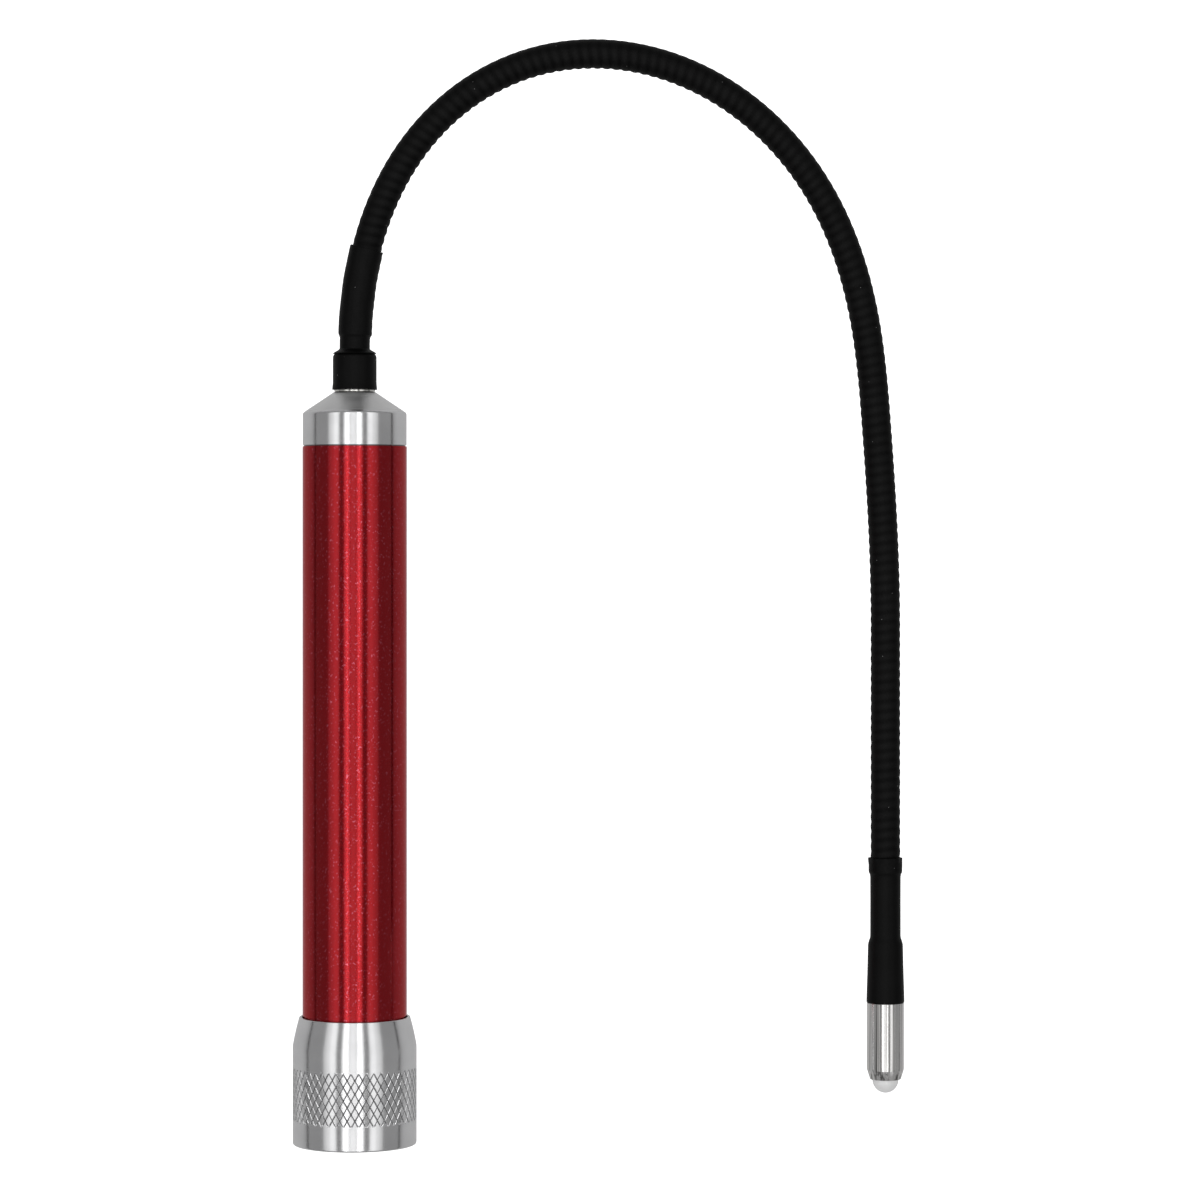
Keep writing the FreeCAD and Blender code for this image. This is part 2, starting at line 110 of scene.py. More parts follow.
CHAIN = hinge_chain()
SPANS = len(CHAIN)
SPAN = float(np.linalg.norm(CHAIN[-1][0] - CHAIN[-2][0])) / MM


class Route:
    """The gooseneck's centre line: one arc between each two hinges, straight at both ends."""

    def __init__(self):
        self.points = [point for point, _, _ in CHAIN]
        self.headings = [0.0]
        for low, high in zip(self.points, self.points[1:]):
            chord = math.atan2(high[0] - low[0], high[1] - low[1])
            turn = chord - self.headings[-1]
            turn = (turn + math.pi) % (2 * math.pi) - math.pi
            self.headings.append(self.headings[-1] + 2 * turn)
        self.headings.append(self.headings[-1])

    def at(self, length):
        """The centre and the right-hand direction at a length in mm from the first hinge."""
        span = min(max(int(length // SPAN), 0), SPANS - 1)
        start = self.points[span]
        heading = self.headings[span]
        bend = self.headings[span + 1] - heading
        run = (length - span * SPAN) * MM
        right = np.array([math.cos(heading), -math.sin(heading), 0.0])
        ahead = np.array([math.sin(heading), math.cos(heading), 0.0])
        if abs(bend) < 1e-5 or length < 0:
            return start + ahead * run, right
        radius = SPAN * MM / bend
        heading += run / radius
        new_right = np.array([math.cos(heading), -math.sin(heading), 0.0])
        return start + right * radius - new_right * radius, new_right

    def curvature(self, length):
        """How tightly the line bends at a length, in radians per mm, smoothed over a span."""
        ends = (length - SPAN / 2, length + SPAN / 2)
        turned = []
        for end in ends:
            _, right = self.at(min(max(end, 0.0), SPANS * SPAN))
            turned.append(math.atan2(-right[1], right[0]))
        change = (turned[1] - turned[0] + math.pi) % (2 * math.pi) - math.pi
        return change / SPAN


ROUTE = Route()


# ---------------------------------------------------------------- mesh tools


def softened(profile, steps=5):
    """A profile whose corners with a third value are rounded by that length in mm."""
    points = []
    for i, corner in enumerate(profile):
        here = np.array(corner[:2], float)
        if len(corner) == 2 or i in (0, len(profile) - 1):
            points.append(tuple(here))
            continue
        before = np.array(profile[i - 1][:2], float) - here
        after = np.array(profile[i + 1][:2], float) - here
        reach = min(corner[2], np.linalg.norm(before) * 0.48, np.linalg.norm(after) * 0.48)
        first = here + before / np.linalg.norm(before) * reach
        last = here + after / np.linalg.norm(after) * reach
        for step in range(steps + 1):
            t = step / steps
            blend = (1 - t) ** 2 * first + 2 * t * (1 - t) * here + t**2 * last
            points.append(tuple(blend))
    return points


def mesh_object(name, vertices, faces, sharp_degrees=35):
    """A smooth-shaded mesh object whose edges stay sharp where faces meet steeply."""
    mesh = bpy.data.meshes.new(name)
    mesh.from_pydata([tuple(v) for v in vertices], [], faces)
    work = bmesh.new()
    work.from_mesh(mesh)
    bmesh.ops.remove_doubles(work, verts=work.verts, dist=1e-7)
    bmesh.ops.recalc_face_normals(work, faces=work.faces)
    work.to_mesh(mesh)
    work.free()
    mesh.shade_smooth()
    mesh.set_sharp_from_angle(angle=math.radians(sharp_degrees))
    piece = bpy.data.objects.new(name, mesh)
    bpy.context.scene.collection.objects.link(piece)
    return piece


def grid_faces(rows, columns):
    """Faces of a grid of vertices stored row by row, closed round its columns."""
    faces = []
    for row in range(rows - 1):
        for column in range(columns):
            right = (column + 1) % columns
            low = row * columns
            high = low + columns
            faces.append((low + column, low + right, high + right, high + column))
    return faces


def lathe_data(profile, place, segments, radius_change=None):
    """Vertices and faces of a profile of (radius, height) turned about its axis."""
    vertices = []
    for radius, height in profile:
        for i in range(segments):
            angle = 2 * math.pi * i / segments
            r = radius
            if radius_change:
                r += radius_change(angle, height)
            vertices.append(place(r * math.sin(angle), height, r * math.cos(angle)))
    return vertices, grid_faces(len(profile), segments)


def lathe(name, profile, place, segments=160, radius_change=None, closed=True):
    """A turned piece. A closed one joins the profile's last point to its first."""
    points = softened(profile)
    if closed:
        points = points + points[:1]
    vertices, faces = lathe_data(points, place, segments, radius_change)
    return mesh_object(name, vertices, faces)


def row_places(start, end, step):
    """Evenly spaced lengths from start to end, about one step apart."""
    return np.linspace(start, end, max(2, int(round((end - start) / step)) + 1))


def route_tube(name, start, end, radius_at, step, segments, lift=0.0):
    """An open tube along the route. radius_at gives its radius at a length and an angle from
    straight up towards the right; lift raises it above the route."""
    rows = row_places(start, end, step)
    vertices = []
    for length in rows:
        centre, right = ROUTE.at(length)
        middle = centre + np.array([0, 0, lift * MM])
        for i in range(segments):
            angle = 2 * math.pi * i / segments
            r = radius_at(length, angle) * MM
            offset = right * r * math.sin(angle) + np.array([0, 0, r * math.cos(angle)])
            vertices.append(middle + offset)
    return mesh_object(name, vertices, grid_faces(len(rows), segments), 60)


def radius_and_height(vertex):
    """A mesh point's radius from the handle's axis and its height above the tail face."""
    radius = math.hypot(vertex.co.x - AXIS_X, vertex.co.z - AXIS_Z) / MM
    return radius, (vertex.co.y - TAIL_Y) / MM


# ---------------------------------------------------------------- materials


class Look:
    """A node material under construction."""

    def __init__(self, name):
        self.material = bpy.data.materials.new(name)
        self.material.use_nodes = True
        self.tree = self.material.node_tree
        self.shader = self.tree.nodes["Principled BSDF"]
        self.place = self.tree.nodes.new("ShaderNodeTexCoord").outputs["Object"]

    def set(self, **inputs):
        """Sets inputs of the shader by name, with _ for each space."""
        for name, value in inputs.items():
            self.shader.inputs[name.replace("_", " ")].default_value = value
        return self

    def link(self, output, name):
        """Feeds a node's output to an input of the shader."""
        self.tree.links.new(output, self.shader.inputs[name])
        return self

    def scaled(self, factors):
        """The object's coordinates in mm, times a factor on each axis."""
        node = self.tree.nodes.new("ShaderNodeMapping")
        for i, factor in enumerate(factors):
            node.inputs["Scale"].default_value[i] = factor / MM
        self.tree.links.new(self.place, node.inputs["Vector"])
        return node.outputs["Vector"]

    def noise(self, factors, detail=3.0, roughness=0.5):
        """Noise whose grain is one over the factor, in mm, along each axis."""
        node = self.tree.nodes.new("ShaderNodeTexNoise")
        node.inputs["Scale"].default_value = 1.0
        node.inputs["Detail"].default_value = detail
        node.inputs["Roughness"].default_value = roughness
        self.tree.links.new(self.scaled(factors), node.inputs["Vector"])
        return node.outputs["Fac"]

    def specks(self, spacing, size, seed):
        """1 inside sparse round specks and 0 elsewhere."""
        node = self.tree.nodes.new("ShaderNodeTexVoronoi")
        node.inputs["Scale"].default_value = 1.0
        shift = self.tree.nodes.new("ShaderNodeVectorMath")
        shift.operation = "ADD"
        shift.inputs[1].default_value = (seed, seed * 0.7, seed * 1.3)
        self.tree.links.new(self.scaled((1 / spacing,) * 3), shift.inputs[0])
        self.tree.links.new(shift.outputs[0], node.inputs["Vector"])
        return self.math("LESS_THAN", node.outputs["Distance"], size / spacing)

    def math(self, operation, a, b=0.0, c=0.0):
        """A sum or comparison of numbers and node outputs."""
        node = self.tree.nodes.new("ShaderNodeMath")
        node.operation = operation
        for i, value in enumerate((a, b, c)):
            if isinstance(value, (int, float)):
                node.inputs[i].default_value = value
            else:
                self.tree.links.new(value, node.inputs[i])
        return node.outputs[0]

    def ramp(self, value, *stops):
        """Colours or greys between positions, as (position, colour) stops."""
        node = self.tree.nodes.new("ShaderNodeValToRGB")
        elements = node.color_ramp.elements
        for i, (position, colour) in enumerate(stops):
            element = elements[i] if i < 2 else elements.new(position)
            element.position = position
            if isinstance(colour, (int, float)):
                colour = (colour,) * 3
            element.color = (*colour, 1.0)
        self.tree.links.new(value, node.inputs["Fac"])
        return node.outputs["Color"]

    def mix(self, factor, a, b):
        """Colour a where the factor is 0 and colour b where it is 1."""
        node = self.tree.nodes.new("ShaderNodeMix")
        node.data_type = "RGBA"
        sockets = [s for s in node.inputs if s.type == "RGBA"]
        for socket, value in zip(sockets, (a, b)):
            if isinstance(value, tuple):
                socket.default_value = (*value, 1.0)
            else:
                self.tree.links.new(value, socket)
        self.tree.links.new(factor, node.inputs[0])
        return [s for s in node.outputs if s.type == "RGBA"][0]

    def attribute(self, name):
        """A number stored on the mesh's points."""
        node = self.tree.nodes.new("ShaderNodeAttribute")
        node.attribute_name = name
        return node.outputs["Fac"]

    def bump(self, height, depth_mm, previous=None):
        """A bump of this depth in mm from a 0 to 1 height."""
        node = self.tree.nodes.new("ShaderNodeBump")
        node.inputs["Strength"].default_value = 1.0
        node.inputs["Distance"].default_value = depth_mm * MM
        self.tree.links.new(height, node.inputs["Height"])
        if previous is not None:
            self.tree.links.new(previous, node.inputs["Normal"])
        return node.outputs["Normal"]

    def turned_about_y(self):
        """Stretches the highlights along Y, across the rings of tool marks."""
        node = self.tree.nodes.new("ShaderNodeTangent")
        node.direction_type = "RADIAL"
        node.axis = "Y"
        self.tree.links.new(node.outputs["Tangent"], self.shader.inputs["Tangent"])
        self.shader.inputs["Anisotropic Rotation"].default_value = 0.25
        return self


def turned_metal(name, colour, roughness, marks_mm, anisotropy, shaded_grooves=False):
    """Bright turned metal with fine rings of tool marks, and painted shade in its grooves and
    gaps if the mesh marks them.
    """
    look = Look(name).set(Metallic=1.0, Anisotropic=anisotropy)
    look.turned_about_y()
    rings = look.noise((0.02, 2.2, 0.02), detail=4.0, roughness=0.65)
    clouds = look.noise((0.12, 0.25, 0.12), detail=2.0)
    shade = look.mix(look.ramp(clouds, (0.35, 0.0), (0.7, 1.0)), colour,
                     tuple(c * 0.93 for c in colour))
    if shaded_grooves:
        # Painted shade: the colour darkens to 0.22 of itself where the mesh's groove value is
        # high.
        groove_shade = look.ramp(look.attribute("groove"), (0.25, 0.0), (0.8, 1.0))
        shade = look.mix(groove_shade, shade, tuple(c * 0.22 for c in colour))
    look.link(shade, "Base Color")
    rough = look.math("MULTIPLY_ADD", rings, roughness * 0.6, roughness * 0.7)
    look.link(rough, "Roughness")
    look.link(look.bump(rings, marks_mm), "Normal")
    return look.material


def drawn_nickel():
    """Nickel plate over a drawn tube, with faint lines along its length."""
    look = Look("drawn_nickel").set(Metallic=1.0, Anisotropic=0.3)
    look.turned_about_y()
    lines = look.noise((1.5, 0.012, 1.5), detail=3.0, roughness=0.6)
    clouds = look.noise((0.5, 0.1, 0.5), detail=2.0)
    look.link(look.mix(look.ramp(lines, (0.39, 0.0), (0.5, 1.0)), (0.24, 0.235, 0.23),
                       (0.84, 0.83, 0.82)), "Base Color")
    look.link(look.math("MULTIPLY_ADD", clouds, 0.12, 0.1), "Roughness")
    look.link(look.bump(lines, 0.02), "Normal")
    return look.material


def red_anodised():
    """Red dyed aluminium under a thin clear layer, with turning marks and painted glints: sparse
    lighter pink specks in its colour.
    """
    look = Look("red_anodised").set(Metallic=1.0, Anisotropic=0.55)
    look.set(Coat_Weight=0.55, Coat_Roughness=0.08, Coat_IOR=1.38)
    look.set(Specular_Tint=(1.0, 0.4, 0.42, 1.0))
    look.turned_about_y()
    rings = look.noise((0.015, 1.6, 0.015), detail=5.0, roughness=0.7)
    grains = look.noise((1.7, 1.9, 1.7), detail=1.5)
    clouds = look.noise((0.1, 0.06, 0.1), detail=2.0)
    base = look.mix(look.ramp(clouds, (0.35, 0.0), (0.7, 1.0)),
                    (0.40, 0.008, 0.014), (0.37, 0.006, 0.012))
    # Painted glints: sparse lighter pink specks mixed into the base colour.
    painted_glints = look.noise((2.6, 2.2, 2.6), detail=1.0)
    painted_glints = look.ramp(painted_glints, (0.63, 0.0), (0.72, 1.0))
    look.link(look.mix(painted_glints, base, (0.55, 0.09, 0.13)), "Base Color")
    look.link(look.math("MULTIPLY_ADD", rings, 0.14, 0.14), "Roughness")
    look.link(look.bump(grains, 0.0035, look.bump(rings, 0.0035)), "Normal")
    look.link(look.bump(grains, 0.008), "Coat Normal")
    return look.material


def black_rubber(name, shade, roughness, seed, grain_mm=0.012, ribbed=False):
    """Black soft plastic with a fine grain, faint scuffs and a little dust. A ribbed one gets
    painted shade between its ribs: it is duller there."""
    look = Look(name).set(Specular_IOR_Level=0.1)
    grain = look.noise((2.4, 2.4, 2.4), detail=4.0, roughness=0.6)
    scuffs = look.noise((0.25, 0.25, 0.25), detail=3.0)
    tint = look.mix(look.ramp(scuffs, (0.4, 0.0), (0.75, 1.0)), (shade,) * 3,
                    (shade * 1.7,) * 3)
    dust = look.specks(2.6, 0.09, seed)
    look.link(look.mix(look.math("MULTIPLY", dust, 0.5), tint, (0.3, 0.3, 0.3)), "Base Color")
    look.link(look.math("MULTIPLY_ADD", grain, 0.2, roughness - 0.1), "Roughness")
    if ribbed:
        # Painted shade: less shine in the valleys between the ribs, weighted by the stored
        # valley value.
        shine = look.math("MULTIPLY_ADD", look.attribute("valley"), -0.16, 0.13)
        look.link(look.math("MAXIMUM", shine, 0.02), "Specular IOR Level")
    look.link(look.bump(grain, grain_mm), "Normal")
    return look.material


def moulded(name, colour, roughness=0.45, grain_mm=0.01, metallic=0.0):
    """Plain moulded plastic, board or wire: slight mottling and a fine grain."""
    look = Look(name).set(Metallic=metallic)
    grain = look.noise((1.8, 1.8, 1.8), detail=3.0)
    clouds = look.noise((0.3, 0.3, 0.3))
    darker = tuple(c * 0.82 for c in colour)
    look.link(look.mix(look.ramp(clouds, (0.35, 0.0), (0.7, 1.0)), colour, darker), "Base Color")
    look.link(look.math("MULTIPLY_ADD", grain, 0.15, roughness - 0.07), "Roughness")
    look.link(look.bump(grain, grain_mm), "Normal")
    return look.material


def clear_epoxy():
    """The lamp's clear resin, slightly milky, with a faint painted glow though the lamp is not
    lit.
    """
    look = Look("led_epoxy").set(IOR=1.5, Specular_IOR_Level=0.8, Transmission_Weight=0.25)
    # Painted light: a faint white glow in the resin.
    look.set(Emission_Color=(1.0, 1.0, 1.0, 1.0), Emission_Strength=0.1)
    haze = look.noise((0.5, 0.5, 0.5), detail=2.0)
    look.link(look.mix(look.ramp(haze, (0.3, 0.0), (0.8, 1.0)), (0.91, 0.91, 0.91),
                       (0.84, 0.84, 0.84)), "Base Color")
    look.link(look.math("MULTIPLY_ADD", haze, 0.05, 0.04), "Roughness")
    return look.material


MATERIALS = {
    "red_anodised": red_anodised(),
    "turned_aluminium": turned_metal("turned_aluminium", (0.86, 0.86, 0.87), 0.2, 0.0022, 0.6,
                                     shaded_grooves=True),
    "nickel_plate": drawn_nickel(),
    "plated_brass": turned_metal("plated_brass", (0.78, 0.77, 0.74), 0.18, 0.0015, 0.4),
    "coil_steel": turned_metal("coil_steel", (0.45, 0.45, 0.46), 0.3, 0.004, 0.3),
    "spring_steel": turned_metal("spring_steel", (0.62, 0.62, 0.62), 0.25, 0.002, 0.3),
    "magnet": turned_metal("magnet", (0.55, 0.54, 0.53), 0.2, 0.0015, 0.2),
    "lead_wire": turned_metal("lead_wire", (0.75, 0.75, 0.74), 0.22, 0.0015, 0.1),
    "contact_brass": turned_metal("contact_brass", (0.78, 0.60, 0.28), 0.2, 0.0015, 0.2),
    "cell_case": moulded("cell_case", (0.16, 0.17, 0.2), 0.3, 0.004, 0.7),
    "seal_rubber": black_rubber("seal_rubber", 0.02, 0.4, 1.0),
    "shrink_tube": black_rubber("shrink_tube", 0.0018, 0.44, 2.0),
    "sleeve_rubber": black_rubber("sleeve_rubber", 0.0016, 0.5, 3.0, ribbed=True),
    "white_plastic": moulded("white_plastic", (0.82, 0.82, 0.8)),
    "circuit_board": moulded("circuit_board", (0.03, 0.2, 0.08), 0.35),
    "component_black": moulded("component_black", (0.03, 0.03, 0.03)),
    "wire_red": moulded("wire_red", (0.5, 0.02, 0.02), 0.4),
    "wire_black": moulded("wire_black", (0.02, 0.02, 0.02), 0.4),
    "led_epoxy": clear_epoxy(),
}
# The knurl's and the cone's metals take painted shade where the mesh marks grooves.
KNURL_METAL = turned_metal("knurled", (0.86, 0.86, 0.87), 0.2, 0.001, 0.3, shaded_grooves=True)
CONE_METAL = turned_metal("coarse_turned", (0.92, 0.92, 0.92), 0.34, 0.045, 0.8,
                          shaded_grooves=True)


def wear(piece, slot):
    """Gives a piece the material of its slot."""
    piece.data.materials.clear()
    piece.data.materials.append(MATERIALS[slot])
    return piece


def finish_cad_nodes():
    """Every CAD node gets the procedural material of its slot."""
    for subpart in frame["record"]["subparts"]:
        node = frame["nodes"][subpart["node"]]
        for slot in node.material_slots:
            slot.material = MATERIALS[subpart["material_slot"]]


finish_cad_nodes()


# ---------------------------------------------------------------- handle

BARREL_R = 9.98
BARREL_BOTTOM = 6.5
BARREL_TOP = 133.48
BARREL_BORE_R = 7.6
LAND_R = 9.78
LAND_LOW = 18.5
LAND_HIGH = 24.58
THREAD_START = 7.6
THREAD_PITCH = 1.25
THREAD_RINGS = 8
THREAD_CREST_R = 9.28
THREAD_ROOT_R = 8.85


def barrel():
    """The red tube, with a land and a ring groove that the screw cap hides, and rings that
    stand in for its thread."""
    thread = []
    for i in range(THREAD_RINGS):
        bottom = THREAD_START + i * THREAD_PITCH
        thread += [(THREAD_CREST_R, bottom), (THREAD_ROOT_R, bottom + 0.42),
                   (THREAD_ROOT_R, bottom + 0.6), (THREAD_CREST_R, bottom + 1.02)]
    profile = [
        (BARREL_BORE_R, BARREL_BOTTOM),
        (9.1, BARREL_BOTTOM),
        (THREAD_CREST_R, BARREL_BOTTOM + 0.25),
        *thread,
        (THREAD_CREST_R, LAND_LOW),
        (LAND_R, LAND_LOW, 0.15),
        (LAND_R, 19.5, 0.1),
        (9.1, 19.5),
        (9.1, 20.7),
        (LAND_R, 20.7, 0.1),
        (LAND_R, LAND_HIGH),
        (BARREL_R, LAND_HIGH + 0.02, 0.08),
        (BARREL_R, BARREL_TOP, 0.1),
        (8.6, BARREL_TOP),
        (8.6, 125.0),
        (BARREL_BORE_R, 125.0),
    ]
    piece = lathe("barrel_body", profile, on_handle, 256)
    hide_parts("barrel")
    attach(wear(piece, "red_anodised"), "handle")


NECK_R = 9.93
NECK_CORNER = 139.85
SEAM_R = 9.7
SEAM_LOW = 133.5
SEAM_HIGH = 133.68
CONE_TOP = 143.8


def store_painted_shade(piece, low, high, inside):
    """Marks the points between two heights and inside a radius for painted shade."""
    groove_shade = piece.data.attributes.new("groove", "FLOAT", "POINT")
    for vertex, value in zip(piece.data.vertices, groove_shade.data):
        radius, height = radius_and_height(vertex)
        value.value = float(radius < inside and low < height < high)


def neck_cap():
    """The silver cap: a short cylinder whose corner is rounded, then a straight cone. The
    seam below it and the foot of the fitting above it are darkened with painted shade."""
    body = lathe(
        "neck_cap_body",
        [
            (7.2, 125.05),
            (8.55, 125.05, 0.2),
            (8.55, SEAM_LOW),
            (SEAM_R, SEAM_LOW),
            (SEAM_R, SEAM_HIGH),
            (NECK_R, SEAM_HIGH, 0.06),
            (NECK_R, NECK_CORNER, 0.35),
            (9.35, NECK_CORNER + 0.4),
            (9.2, NECK_CORNER + 0.3),
            (7.2, 137.0),
        ],
        on_handle,
        256,
    )
    cone = lathe(
        "neck_cap_cone",
        [
            (9.35, NECK_CORNER + 0.4),
            (4.35, CONE_TOP - 0.2),
            (4.05, CONE_TOP, 0.1),
            (3.0, CONE_TOP + 0.05),
            (3.0, 137.0),
            (7.2, 137.0),
            (9.2, NECK_CORNER + 0.3),
        ],
        on_handle,
        256,
    )
    # Painted shade darkens the seam below the cap and the gap under the fitting's flange.
    store_painted_shade(body, 0.0, SEAM_HIGH + 0.01, SEAM_R + 0.01)
    store_painted_shade(cone, CONE_TOP - 0.12, CONE_TOP + 0.1, 4.25)
    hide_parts("neck_cap")
    wear(body, "turned_aluminium")
    wear(cone, "turned_aluminium")
    cone.data.materials[0] = CONE_METAL
    cone.parent = body
    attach(body, "handle")


def ferrule():
    """The plated fitting whose flange shows as a thin bright ring above the cone."""
    profile = [
        (1.3, 133.5),
        (2.95, 133.5, 0.15),
        (2.95, 143.87),
        (3.9, 143.9, 0.08),
        (3.9, 144.25, 0.08),
        (3.8, 144.28),
        (3.8, 150.9),
        (2.45, 150.9),
        (2.45, 145.25),
        (1.3, 145.25),
    ]
    piece = lathe("ferrule_body", profile, on_handle, 128)
    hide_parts("gooseneck_ferrule")
    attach(wear(piece, "plated_brass"), "handle")


# ---------------------------------------------------------------- screw cap

CAP_R = 11.845
KNURL_LOW = 4.65
KNURL_HIGH = 15.05
KNURL_COUNT = 51
KNURL_PITCH = 2.55
KNURL_DEPTH = 0.16
KNURL_GROOVE = 0.13
KNURL_RUNOUT = 0.5


def knurl_depth(height, across, along):
    """How deep the knurl is at a height and at a place within its diamond, 0 to 1 twice."""
    edge = min(across, 1 - across, along, 1 - along)
    groove = max(0.0, 1 - edge / KNURL_GROOVE)
    ends = min(height - KNURL_LOW, KNURL_HIGH - height) / KNURL_RUNOUT
    fade = min(max(ends, 0.0), 1.0)
    return KNURL_DEPTH * groove * fade * fade * (3 - 2 * fade)


def knurl_band():
    """Vertices and faces of the band of diamonds, cut by two families of slanted grooves."""
    stops = [0.0, KNURL_GROOVE * 0.5, KNURL_GROOVE, 0.3, 0.5, 0.7, 1 - KNURL_GROOVE,
             1 - KNURL_GROOVE * 0.5]
    size = len(stops)
    rise = int(math.ceil((KNURL_HIGH - KNURL_LOW) / KNURL_PITCH)) + 1
    vertices = []
    index = {}
    faces = []

    def vertex(first, second):
        """A lattice vertex: first counts along one groove family, second along the other."""
        turn = 2 * size * KNURL_COUNT
        wrapped = (first + second) % turn
        key = (wrapped, first - second)
        if key not in index:
            a = first // size + stops[first % size]
            b = second // size + stops[second % size]
            angle = math.pi * (a + b) / KNURL_COUNT
            height = KNURL_LOW + (a - b) * KNURL_PITCH / 2
            depth = knurl_depth(height, a % 1, b % 1)
            r = CAP_R - depth
            index[key] = len(vertices)
            vertices.append(on_handle(r * math.sin(angle), height, r * math.cos(angle)))
        return index[key]

    for first in range(KNURL_COUNT):
        for step in range(-1, 2 * rise):
            corner_a = (first + (step + 1) // 2) * size
            corner_b = (first - step // 2) * size
            for i in range(size):
                for j in range(size):
                    faces.append(
                        (
                            vertex(corner_a + i, corner_b + j),
                            vertex(corner_a + i + 1, corner_b + j),
                            vertex(corner_a + i + 1, corner_b + j + 1),
                            vertex(corner_a + i, corner_b + j + 1),
                        )
                    )
    return vertices, faces


def bowed(start, end, bow, steps):
    """Points between two corners of a profile, bowed outwards by this much in the middle."""
    points = []
    for step in range(steps + 1):
        t = step / steps
        out = 4 * bow * t * (1 - t)
        radius = start[0] + (end[0] - start[0]) * t + out
        points.append((radius, start[1] + (end[1] - start[1]) * t))
    return points


def tail_cap():
    """The screw cap: base band, knurl, plain band, bulged shoulder, lip and bore."""
    base = softened([
        (0.0, 0.25),
        (6.0, 0.25, 0.3),
        (6.3, 0.0, 0.1),
        (CAP_R, 0.0, 0.45),
        (CAP_R, KNURL_LOW),
    ])
    shoulder = softened([
        (CAP_R, KNURL_HIGH),
        (CAP_R, 18.9, 0.08),
        *bowed((11.8, 19.1), (10.66, 24.1), 0.07, 14),
        (10.6, 24.37, 0.12),
        (10.12, 24.38, 0.08),
        (10.1, 23.9),
        (10.1, 18.45),
        (9.4, 18.45),
        (9.4, 3.0),
        (0.0, 3.0),
    ])
    segments = KNURL_COUNT * 6
    vertices, faces = lathe_data(base, on_handle, segments)
    more_vertices, more_faces = lathe_data(shoulder, on_handle, segments)
    faces += [tuple(i + len(vertices) for i in face) for face in more_faces]
    vertices += more_vertices
    piece = mesh_object("tail_cap_body", vertices, faces, 30)
    band = tail_cap_band()
    band.parent = piece
    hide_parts("tail_cap")
    wear(piece, "turned_aluminium")
    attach(piece, "tail_cap")


def tail_cap_band():
    """The knurled band as a piece of its own, trimmed to its height, with its edges moved
    out to meet the plain bands and its groove depths stored for painted shade."""
    vertices, faces = knurl_band()
    piece = mesh_object("tail_cap_knurl", vertices, faces, 12)
    work = bmesh.new()
    work.from_mesh(piece.data)
    for height, side in ((KNURL_LOW, -1), (KNURL_HIGH, 1)):
        bmesh.ops.bisect_plane(
            work,
            geom=work.verts[:] + work.edges[:] + work.faces[:],
            plane_co=on_handle(0, height, 0),
            plane_no=(0, side, 0),
            clear_outer=True,
        )
    bmesh.ops.remove_doubles(work, verts=work.verts[:], dist=0.01 * MM)
    axis = Vector((AXIS_X, 0.0, AXIS_Z))
    for vertex in work.verts:
        _, height = radius_and_height(vertex)
        if min(height - KNURL_LOW, KNURL_HIGH - height) < 0.001:
            out = vertex.co - axis
            out.y = 0.0
            vertex.co += out.normalized() * (CAP_R * MM - out.length)
    work.to_mesh(piece.data)
    work.free()
    # Painted shade: the knurl's material darkens the grooves by this depth.
    depth = piece.data.attributes.new("groove", "FLOAT", "POINT")
    for vertex, value in zip(piece.data.vertices, depth.data):
        radius, _ = radius_and_height(vertex)
        value.value = (CAP_R - radius) / KNURL_DEPTH
    piece.data.materials.append(KNURL_METAL)
    return piece


# ---------------------------------------------------------------- gooseneck

RIB_PITCH = 1.887
RIB_STEP = RIB_PITCH / 16
SLEEVE_R = 2.845
SLEEVE_FROM = 12.0
SLEEVE_TAIL = 3.2
SKIRT_END = 19.9
SKIRT_R = 3.25
WAIST_R = 2.9
WIRE_R = 0.44
WIRE_LIFT = 0.5
WIRE_TAIL = 22.5
ROOT_BEND_FROM = -2.0


def smooth(t):
    """A smooth step from 0 to 1."""
    t = min(max(t, 0.0), 1.0)
    return t * t * (3 - 2 * t)


def rib(length, angle):
    """How far the surface drops between two turns of the coil, from 0 to 1: round crests
    and narrow valleys that climb as a right-handed screw, with a fine ridge in each."""
    turn = length / RIB_PITCH - angle / (2 * math.pi)
    crest = abs(math.sin(math.pi * turn))
    from_valley = min(turn % 1, 1 - turn % 1)
    ridge = max(0.0, 1 - from_valley / 0.07)
    return (1 - crest**0.75) * (1 - 0.45 * ridge)


def inward(length, angle):
    """From -1 on the outside of the bend to 1 on its inside, and 0 where it is straight."""
    bend = ROUTE.curvature(length) * 35
    return math.sin(angle) * max(-1.0, min(1.0, bend))


def sleeve_radius(length, angle):
    """The ribbed cover: its ribs stand out on the inside of a bend and fade outside it."""
    depth = 0.17 + 0.12 * inward(length, angle)
    return SLEEVE_R - depth * rib(length, angle)


def skirt_radius(length, angle):
    """The shrink tube over the cover, through which the ribs show a little."""
    shoulder = 4.2 - 1.3 * smooth((length + 0.35) / 1.05)
    swell = smooth((length - 2.6) / 1.0)
    body = WAIST_R + (SKIRT_R - WAIST_R) * swell
    depth = (0.05 + 0.08 * inward(length, angle)) * swell
    wrinkle = 0.02 * math.sin(3 * angle + length * 0.9) * swell
    return max(shoulder, body) - depth * rib(length, angle) + wrinkle


def across_hinge(piece, low, high):
    """Bakes a piece's placement into its mesh. It looks up the route at two lengths but does not
    bend the piece.
    """
    start, _ = ROUTE.at(low)
    end, _ = ROUTE.at(high)
    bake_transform(piece)


